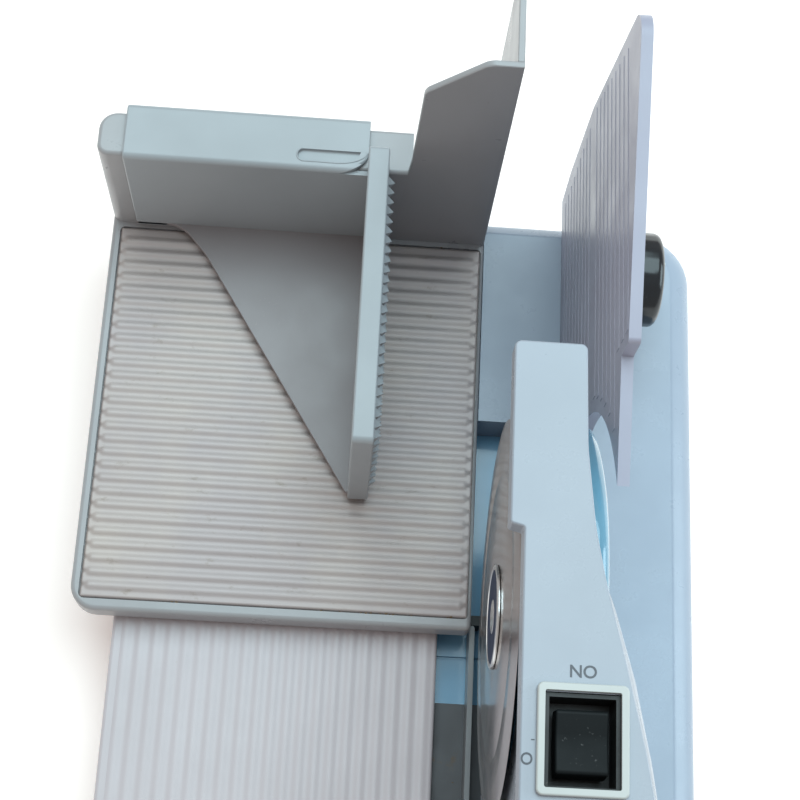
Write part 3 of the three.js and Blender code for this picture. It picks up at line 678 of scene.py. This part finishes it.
for i in range(gauge["arcSteps"] + 1):
    turn = arcStart + (arcEnd - arcStart) * i / gauge["arcSteps"]
    gaugeCorners.append([bladeMiddle[0] - arcRadius * math.sin(turn),
                         bladeMiddle[1] - arcRadius * math.cos(turn), 0])
gaugeCorners += gauge["outline"]
gaugeFace, gaugeRim = gauge["face"], gauge["rim"]
gaugeBody = prism(gaugeCorners, "yz", gaugeFace - gauge["thick"], gaugeFace, gaugeRim, gaugeRim, 4, 8)
for i in range(gauge["ribCount"]):
    if i == gauge["ribSkip"]:
        continue
    z = gauge["ribFirst"] + i * gauge["ribPitch"]
    front = gauge["ribFront"] + max(0, z - gauge["leanFrom"]) * gauge["lean"]
    reach = math.sqrt(max(0, (arcRadius + gauge["ribGap"]) ** 2 - (z - bladeMiddle[1]) ** 2))
    rear = bladeMiddle[0] - reach if z < gauge["hornFrom"] else gauge["hornRear"]
    rib = bar([gaugeFace - gauge["ribSunk"], gaugeFace + gauge["ribProud"]], [front, rear],
              [z - gauge["ribHalf"], z + gauge["ribHalf"]])
    outer = [e for e in rib.edges if all(v.co.x > gaugeFace for v in e.verts)]
    bevelEdges(rib, outer, gauge["ribRim"], 3)
    join(gaugeBody, rib)
finishPiece("thickness_plate", gaugeBody, gaugeGrey, "gauge", ["gauge_plate"], 30)

# carriage: frame, wall, thumb guard

print("carriage")
carriageLow, carriageHigh = span("carriage_frame")
trayLow, trayHigh = span("tray_insert")
carriage = {
    "top": 64.0, "bottom": 50.0, "front": -180.0, "rim": 2.6, "rimLow": 0.5, "pocket": 0.4,
    "pocketDrop": 0.3, "skin": 3.5, "deckThick": 5, "wallLeft": 2, "wallRear": -154.5, "wallTop": 146.0,
    "wallRim": 2.4, "hollow": [6, 166.5], "roof": 3,
}
front, rear, gap, skin = carriage["front"], carriageHigh[1], carriage["pocket"], carriage["skin"]
frameOuter = cornersOf([carriageLow[0], carriageHigh[0]], [front, rear], [3, 10, 14, 3])
pocketEdge = cornersOf([trayLow[0] - gap, trayHigh[0] + gap], [trayLow[1] - gap, trayHigh[1] + gap], [3] * 4)
underside = cornersOf([carriageLow[0] + skin, carriageHigh[0] - skin], [front + skin, rear - skin],
                      [2, 8, 11, 2])
frameBody = carved(prism(frameOuter, "xy", carriage["bottom"], carriage["top"], carriage["rim"],
                         carriage["rimLow"], 4, 8),
                   prism(pocketEdge, "xy", trayLow[2] - carriage["pocketDrop"], 80),
                   prism(underside, "xy", 20, carriage["top"] - carriage["deckThick"]))
finishPiece("carriage_tray_frame", frameBody, carriageGrey, "carriage", ["carriage_frame"],
            30)

wallRear, wallTop = carriage["wallRear"], carriage["wallTop"]
wallEdge = cornersOf([-20, carriageHigh[0]], [front, wallRear], [0, 10, 6, 0])
wallBody = carved(prism(wallEdge, "xy", carriage["top"] - 1, wallTop, carriage["wallRim"], 0, 4, 9),
                  bar([-60, carriage["wallLeft"]], [-200, -100], [40, 200]),
                  bar(carriage["hollow"], [front + skin, wallRear - skin], [45, wallTop - carriage["roof"]]))
finishPiece("carriage_wall", wallBody, carriageGrey, "carriage", smooth=30)

# the plate's corners are [x, z, radius] and the flange's are [y, z, radius]
guard = {
    "plate": [[-44.5, 63, 0], [11.5, 63, 0], [3, 159, 9], [0.8, 230, 8], [-28, 259.4, 8],
        [-44.5, 259.4, 0]], "front": -158.0, "proud": 0.08, "rim": 1.0, "flangeThick": 3.5,
    "flangeRim": 0.9, "flange": [[-157, 63, 0], [-157, 259.4, 1.5], [-211, 259.4, 6], [-211, 170, 30],
        [-181, 63, 0]], "block": [[-44.3, 4], [-179.8, -157], [63, 84], 1.2, 3],
}
guardPlate = prism(guard["plate"], "xz", guard["front"], wallRear + guard["proud"], guard["rim"],
                   guard["rim"], 3, 8)
guardFlange = prism(guard["flange"], "yz", carriageLow[0], carriageLow[0] + guard["flangeThick"],
                    guard["flangeRim"], guard["flangeRim"], 3, 8)
guardBody = together(guardPlate, guardFlange, bar(*guard["block"]))
finishPiece("thumb_guard", guardBody, carriageGrey, "carriage", smooth=30)
runners = {
    "left": [[-43.5, -40], [-135, -5], [38, 60], 0.6], "right": [[149, 152.2], [-161, 60], [36, 60], 0.6],
}
runnerBody = together(bar(*runners["left"]), bar(*runners["right"]))
finishPiece("carriage_runners", runnerBody, carriageGrey, "carriage")

# ribbed tray: one pressed sheet

print("tray")
tray = {
    "ribCount": 28, "ribFirst": -142.9, "ribPitch": 7.48, "ribHeight": 0.82, "ribHalf": 3.3,
    "ribLeft": 163.2, "ribRight": -40.6, "ribSharp": 0.8, "level": 64.0, "curl": 1.2, "curlWidth": 1.3,
    "rows": 360, "columns": 110, "crowd": 1.9, "pitDepth": 0.75, "pitSize": 1.0,
    "pitEnds": [-41.6, 164.2],
}
trayBody = bmesh.new()
bmesh.ops.create_grid(trayBody, x_segments=tray["columns"], y_segments=tray["rows"], size=0.5)
width, depth = trayHigh[0] - trayLow[0], trayHigh[1] - trayLow[1]
for vert in trayBody.verts:
    # columns crowd towards both ends, where the ribs are rounded
    side = vert.co.x * 2
    side = math.copysign(1 - (1 - abs(side)) ** tray["crowd"], side)
    x = trayLow[0] + width * (side + 1) / 2
    y = trayLow[1] + depth * (vert.co.y + 0.5)
    nearest = round((y - tray["ribFirst"]) / tray["ribPitch"])
    nearest = max(0, min(tray["ribCount"] - 1, nearest))
    ribY = tray["ribFirst"] + nearest * tray["ribPitch"]
    endX = max(tray["ribRight"] + tray["ribHalf"], min(tray["ribLeft"] - tray["ribHalf"], x))
    away = math.hypot(x - endX, y - ribY) / tray["ribHalf"]
    rise = tray["ribHeight"] * (0.5 + 0.5 * math.cos(math.pi * min(1, away))) ** tray["ribSharp"]
    margin = min(x - trayLow[0], trayHigh[0] - x, y - trayLow[1], trayHigh[1] - y)
    fall = tray["curl"] * max(0, 1 - margin / tray["curlWidth"]) ** 2
    # a pressed dent at each end of a rib
    pit = tray["pitDepth"] * sum(math.exp(-((x - end) ** 2 + (y - ribY) ** 2) / tray["pitSize"] ** 2)
                                 for end in tray["pitEnds"])
    vert.co = (x, y, tray["level"] + rise - fall - pit)
faceUp(trayBody)
skirt = bmesh.ops.extrude_edge_only(trayBody, edges=[e for e in trayBody.edges if e.is_boundary])
for vert in newVerts(skirt):
    vert.co.z = trayLow[2]
bmesh.ops.holes_fill(trayBody, edges=[e for e in trayBody.edges if e.is_boundary], sides=0)
bmesh.ops.recalc_face_normals(trayBody, faces=trayBody.faces)


def pressed(name, colour):
    # brushed along the ribs, with broad clouds, grime and shallow dents
    material, tree, shader, place = newMaterial(name)
    shader.inputs["Metallic"].default_value = 0.6
    brushed = noiseOf(tree, place, 60.0, 5.0, (1, 34, 8), 0.65)
    cloud = noiseOf(tree, place, 14.0, 4.0, roughness=0.6)
    grime = noiseOf(tree, place, 90.0, 7.0, (1, 1.5, 1), 0.72)
    tone = mottled(tree, brushed, colour, 0.92, 1.07)
    tone = blended(tree, ranged(tree, cloud, 0.40, 0.72, 0.0, 0.35), tone, (0.60, 0.52, 0.44))
    tone = blended(tree, ranged(tree, grime, 0.60, 0.74, 0.0, 0.55), tone, (0.26, 0.21, 0.16))
    tree.links.new(tone, shader.inputs["Base Color"])
    tree.links.new(ranged(tree, brushed, 0.25, 0.75, 0.54, 0.68), shader.inputs["Roughness"])
    first = bumped(tree, shader, brushed, 0.10, 0.0002)
    dents = noiseOf(tree, place, 160.0, 3.0)
    bumped(tree, shader, dents, 0.12, 0.0006, first)
    return material


traySteel = pressed("pressed tray steel", (0.44, 0.39, 0.385))
finishPiece("ribbed_tray", trayBody, traySteel, "carriage", ["tray_insert"], 60, False)

crumbBrown = moulded("dried crumb", (0.16, 0.10, 0.05), (0.60, 0.80), 0.4, 0.1)
# the seam's crumbs are [x, offset, size], the others [x, size] or [x, y, size]
crumb = {
    "bumpy": 0.28, "long": 1.6, "wide": 0.75, "tall": 0.45, "outside": 0.1, "sunk": 0.1, "lift": 0.4,
    "seam": [[-33.5, -0.5, 0.55], [-31.8, 0, 0.35], [-12.4, 0, 0.4], [-2.6, 0, 0.45], [-0.8, 0, 0.3],
        [1.2, -0.3, 0.55], [4.4, 0, 0.35], [9.5, -0.2, 0.5], [12.0, 0, 0.6], [14.6, 0, 0.35],
        [26.0, 0, 0.3], [113.0, 0, 0.55], [115.5, -0.2, 0.4], [36.0, 0, 0.4]],
    "front": [[58, 0.4], [96, 0.5], [-20, 0.45]], "channel": [[-60.4, 112.0, 0.7], [-60.9, 115.4, 0.55],
        [-60.2, 118.6, 0.45], [-59.6, 124.0, 0.3], [-54.0, 131.0, 0.35], [-40.0, 149.0, 0.3],
        [-60.6, 139.0, 0.35]],
}


def crumbs(spots, level):
    # small flattened lumps of dried food, each [x, y, size]
    heap = bmesh.new()
    for i, (x, y, size) in enumerate(spots):
        lump = bmesh.new()
        bmesh.ops.create_icosphere(lump, subdivisions=2, radius=size)
        for vert in lump.verts:
            wave = math.sin(vert.co.x * 5 / size + i) * math.cos(vert.co.y * 4 / size + 2 * i)
            bump = 1 + crumb["bumpy"] * wave
            vert.co = (x + vert.co.x * bump * crumb["long"], y + vert.co.y * bump * crumb["wide"],
                       level + vert.co.z * bump * crumb["tall"])
        join(heap, lump)
    return heap


seamY = trayHigh[1] + crumb["outside"]
traySpots = [[x, seamY + offset, size] for x, offset, size in crumb["seam"]]
traySpots += [[x, trayLow[1] - crumb["outside"], size] for x, size in crumb["front"]]
trayCrumbs = crumbs(traySpots, tray["level"] - crumb["sunk"])
finishPiece("tray_crumbs", trayCrumbs, crumbBrown, "carriage", smooth=40, weighted=False)
channelCrumbs = crumbs(crumb["channel"], channel["floor"] + crumb["lift"])
finishPiece("channel_crumbs", channelCrumbs, crumbBrown, "base", smooth=40, weighted=False)

# pusher

print("pusher")
pushLow, pushHigh = span("pusher")
pusher = {
    "saddleRight": 25.6, "saddleTop": 149.5, "skin": 2.8, "lip": [-184.0, -180.6], "lipLow": 112.0,
    "panel": [-154.0, -151.5], "panelLow": 69.0, "rim": 1.0, "shoulder": 3.4,
}
lip, panel, panelLow = pusher["lip"], pusher["panel"], pusher["panelLow"]
saddleTop, shoulder = pusher["saddleTop"], pusher["shoulder"]
saddleUnder = saddleTop - pusher["skin"]
saddleSide = [[lip[0], pusher["lipLow"], 1.2], [lip[0], saddleTop, shoulder], [panel[1], saddleTop, shoulder],
              [panel[1], panelLow, 0], [panel[0], panelLow, 0], [panel[0], saddleUnder, 1],
              [lip[1], saddleUnder, 1], [lip[1], pusher["lipLow"], 1.2]]
saddleBody = prism(saddleSide, "yz", pusher["saddleRight"], pushHigh[0], pusher["rim"], 0.4, 4, 7)
slot = {
    "x": [16, 63.5], "y": [-163.6, -156.6], "radius": 3.4, "deep": 1.9, "rim": 0.9,
    "beadGap": [0.35, 0.4], "beadTo": 50,
}
slotCut = prism(cornersOf(slot["x"], slot["y"], [0, slot["radius"], slot["radius"], 0]),
                "xy", saddleTop - slot["deep"], saddleTop + 4, 0, slot["rim"], 3, 8)
corner = {
    "middle": [43.0, -164.2], "reach": [17.4, 12.7], "cutLeft": 10, "cutRear": -140, "bottom": 146.3,
    "thick": 4.4, "endShoulder": 0.7, "drop": 0.04, "edge": 0.2, "bead": [16.6, 8.0], "beadRadius": 0.5,
    "beadSunk": 0.1,
}


def arcPoints(middle, reach, start, end, count):
    turns = [math.radians(start + (end - start) * i / count) for i in range(count + 1)]
    return [(middle[0] + reach[0] * math.cos(turn), middle[1] + reach[1] * math.sin(turn)) for turn in turns]


def swept(path, profileAt):
    # closed section carried along a level path; its points are [across, height]
    body = bmesh.new()
    rings = []
    for i, (x, y) in enumerate(path):
        before, after = path[max(0, i - 1)], path[min(len(path) - 1, i + 1)]
        along = Vector((after[0] - before[0], after[1] - before[1], 0)).normalized()
        points = [(x - along.y * across, y + along.x * across, z) for across, z in profileAt(i)]
        rings.append([body.verts.new(point) for point in points])
    sides = len(rings[0])
    for first, second in zip(rings, rings[1:]):
        for k in range(sides):
            body.faces.new([first[k], first[(k + 1) % sides], second[(k + 1) % sides], second[k]])
    body.faces.new(rings[0])
    body.faces.new(rings[-1])
    bmesh.ops.recalc_face_normals(body, faces=body.faces)
    return body


def beadSection(radius, z, sides=10):
    turns = [math.tau * k / sides for k in range(sides)]
    return [(radius * math.cos(turn), z + radius * math.sin(turn)) for turn in turns]


outerArc = arcPoints(corner["middle"], corner["reach"], 90, 178, 24)
cutEdge = [[corner["cutLeft"], corner["cutRear"], 0], [corner["middle"][0], corner["cutRear"], 0]]
cutEdge += [[x, y, 0] for x, y in outerArc] + [[corner["cutLeft"], outerArc[-1][1], 0]]
cornerCut = prism(cutEdge, "xy", corner["bottom"], 160, 0, 0, 1)


def cornerSection(i):
    # rounded shoulder, narrowing towards the face plate
    radius = shoulder + (corner["endShoulder"] - shoulder) * i / (len(outerArc) - 1)
    top, bottom = saddleTop - corner["drop"], corner["bottom"]
    turns = [math.pi * k / 16 for k in range(9)]
    bow = [(radius - radius * math.cos(turn), top - radius + radius * math.sin(turn)) for turn in turns]
    bow = [(across, max(z, bottom + corner["edge"])) for across, z in bow]
    return [(0, bottom)] + bow + [(corner["thick"], top), (corner["thick"], bottom)]


cornerWall = swept(outerArc, cornerSection)
slotMiddle = (slot["x"][1] - slot["radius"], (slot["y"][0] + slot["y"][1]) / 2)
slotReach = [slot["radius"] + more for more in slot["beadGap"]]
beadPath = arcPoints(slotMiddle, slotReach, -75, 90, 14) + [(slot["beadTo"], slotMiddle[1] + slotReach[1])]
beadPath += arcPoints(corner["middle"], corner["bead"], 90, 172, 22)
beadPoints = beadSection(corner["beadRadius"], saddleTop - corner["beadSunk"])
bead = swept(beadPath, lambda i: beadPoints)
saddleBody = together(carved(saddleBody, cornerCut, slotCut), cornerWall, bead)
finishPiece("pusher_saddle", saddleBody, pusherGrey, "pusher", ["pusher"], 32)

web = {
    "left": 20, "front": -152.5, "top": 72, "rim": 0.9, "rimLow": 0.6, "slant": [[130, -151.5, 18],
        [114, -133, 30], [27, 2, 2], [20, 2, 0]],
}
webEdge = [[pushHigh[0], web["front"], 0], [pushHigh[0], panel[1], 0], *web["slant"],
           [web["left"], web["front"], 0]]
webBody = prism(webEdge, "xy", panelLow, web["top"], web["rim"], web["rimLow"], 3, 8)
# the web takes the darker copy of the pusher plastic, which is painted shade
finishPiece("pusher_web", webBody, pusherWebPaintedShade, "pusher", smooth=30)

plate = {
    "x": [14.7, 25.8], "front": -153.8, "step": 4.7, "stepFrom": 147.4, "rear": 4.5, "top": 168.0,
    "rim": 1.1,
}
plateStep = plate["front"] - plate["step"]
plateSide = [[plate["front"], pushLow[2], 0], [plate["front"], plate["stepFrom"], 0],
             [plateStep, plate["stepFrom"], 0], [plateStep, plate["top"], 2.5],
             [plate["rear"], plate["top"], 3.5], [plate["rear"], pushLow[2], 1.5]]
plateBody = prism(plateSide, "yz", *plate["x"], plate["rim"], plate["rim"], 4, 6)
finishPiece("pusher_plate", plateBody, pusherGrey, "pusher", smooth=32)

teeth = {
    "rows": 8, "columns": 26, "pitch": 5.6, "rowPitch": 11.0, "first": [-143.6, 78], "radius": 3.9,
    "point": 0.2, "tall": 3.6, "proud": 1.75,
}
teethBody = bmesh.new()
for row in range(teeth["rows"]):
    for column in range(teeth["columns"]):
        tooth = bmesh.new()
        bmesh.ops.create_cone(tooth, segments=4, radius1=teeth["radius"], radius2=teeth["point"],
                              depth=teeth["tall"], cap_ends=True, cap_tris=False)
        for degrees, axis in ((45, "Z"), (-90, "Y")):
            turned = Matrix.Rotation(math.radians(degrees), 3, axis)
            bmesh.ops.rotate(tooth, cent=(0, 0, 0), matrix=turned, verts=tooth.verts)
        y, z = teeth["first"][0] + column * teeth["pitch"], teeth["first"][1] + row * teeth["rowPitch"]
        bmesh.ops.translate(tooth, vec=(plate["x"][0] - teeth["proud"], y, z), verts=tooth.verts)
        join(teethBody, tooth)
finishPiece("pusher_teeth", teethBody, pusherGrey, "pusher", smooth=20, weighted=False)

# printed marks

print("marks")


marks = {
    "thick": 0.04, "bold": 0.10, "lift": 0.05, "onSize": 7.2, "onGap": 5.4, "offSize": 6.4, "offGap": 3.9,
    "offBack": 14, "tick": [0.6, 2.0], "tickHalf": 0.25, "tickDepth": [0.03, 0.04],
}


def wordBody(text, size, place, turn):
    curve = bpy.data.curves.new("mark", "FONT")
    curve.body = text
    curve.size = size
    curve.extrude = marks["thick"]
    curve.offset = marks["bold"]
    curve.align_x = "CENTER"
    curve.align_y = "CENTER"
    sign = bpy.data.objects.new("mark", curve)
    bpy.context.scene.collection.objects.link(sign)
    bpy.context.view_layer.update()
    mesh = bpy.data.meshes.new_from_object(sign.evaluated_get(bpy.context.evaluated_depsgraph_get()))
    bpy.data.objects.remove(sign)
    body = bmesh.new()
    body.from_mesh(mesh)
    bpy.data.meshes.remove(mesh)
    turned = Matrix.Rotation(math.radians(turn), 3, "Z")
    bmesh.ops.rotate(body, cent=(0, 0, 0), matrix=turned, verts=body.verts)
    bmesh.ops.translate(body, vec=place, verts=body.verts)
    return body


printGrey = moulded("printed mark grey", (0.075, 0.08, 0.095), (0.40, 0.50), 0.02, 0.04)
middleX = (bezelLow[0] + bezelHigh[0]) / 2
markTop = roofTop + marks["lift"]
onPlace = (middleX, bezelLow[1] - marks["onGap"], markTop)
offPlace = (bezelHigh[0] + marks["offGap"], bezelHigh[1] - marks["offBack"], markTop)
tickBody = bar([bezelHigh[0] + along for along in marks["tick"]],
               [rockerMiddle - marks["tickHalf"], rockerMiddle + marks["tickHalf"]],
               [markTop - marks["tickDepth"][0], markTop + marks["tickDepth"][1]])
marksBody = together(wordBody("ON", marks["onSize"], onPlace, 0),
                     wordBody("O", marks["offSize"], offPlace, 90), tickBody)
finishPiece("housing_marks", marksBody, printGrey, "base", smooth=30, weighted=False)

# floor, lights, camera

print("studio")
studio = {
    "floorHalf": 3000, "floorTones": [(0.96, 0.87, 0.83), (0.98, 0.90, 0.86)], "floorRough": 0.9,
    "glowColour": (1.0, 0.97, 0.95, 1.0), "glow": 0.2, "worldColour": (1.0, 0.94, 0.90, 1.0),
    "world": 0.53,
}
floorBody = bmesh.new()
bmesh.ops.create_grid(floorBody, x_segments=2, y_segments=2, size=studio["floorHalf"])
floor = asObject("floor", floorBody)
floor.data.transform(Matrix.Scale(0.001, 4))
floorPaint, tree, shader, place = newMaterial("pale floor")
soft = noiseOf(tree, place, 3.0, 3.0)
tree.links.new(blended(tree, soft, *studio["floorTones"]), shader.inputs["Base Color"])
shader.inputs["Roughness"].default_value = studio["floorRough"]
shader.inputs["Emission Color"].default_value = studio["glowColour"]
shader.inputs["Emission Strength"].default_value = studio["glow"]
floor.data.materials.append(floorPaint)


def softLight(name, place, target, size, power, colour):
    lamp = bpy.data.lights.new(name, "AREA")
    lamp.shape = "RECTANGLE"
    lamp.size, lamp.size_y = size
    lamp.energy = power
    lamp.color = colour
    thing = bpy.data.objects.new(name, lamp)
    aim = Vector(target) - Vector(place)
    thing.rotation_euler = aim.to_track_quat("-Z", "Y").to_euler()
    thing.location = place
    bpy.context.scene.collection.objects.link(thing)


softLight("sky light", (-0.2, -0.85, 2.4), (0, 0, 0.1), (2.4, 2.0), 64, (0.70, 0.93, 1.0))
softLight("side light", (-2.2, -0.1, 0.9), (-0.1, 0, 0.05), (1.4, 1.2), 26, (0.74, 0.93, 1.0))

world = bpy.data.worlds.new("soft world")
world.use_nodes = True
world.node_tree.nodes["Background"].inputs["Color"].default_value = studio["worldColour"]
world.node_tree.nodes["Background"].inputs["Strength"].default_value = studio["world"]
bpy.context.scene.world = world

# lens and sensor in millimetres, shifts as shares of the sensor
view = {
    "place": (0.0284, 0.2516, 0.9183), "azimuth": 7.0851, "tilt": 19.7714, "roll": 10.2475,
    "lens": 72.9702, "sensor": 36.0, "shift": (-0.01995, 0.0070875), "near": 0.01,
}
lens = bpy.data.cameras.new("camera")
lens.sensor_width = view["sensor"]
lens.lens = view["lens"]
lens.shift_x, lens.shift_y = view["shift"]
lens.clip_start = view["near"]
camera = bpy.data.objects.new("camera", lens)
heading = Matrix.Rotation(math.radians(view["azimuth"]), 3, "Z")
nod = Matrix.Rotation(math.radians(-view["tilt"]), 3, "X")
half = Matrix.Rotation(math.pi, 3, "Z")
lean = Matrix.Rotation(math.radians(-view["roll"]), 3, "Z")
camera.matrix_world = Matrix.Translation(view["place"]) @ (lean @ nod @ half @ heading).transposed().to_4x4()
bpy.context.scene.collection.objects.link(camera)
bpy.context.scene.camera = camera
bpy.context.scene.view_settings.view_transform = "Standard"
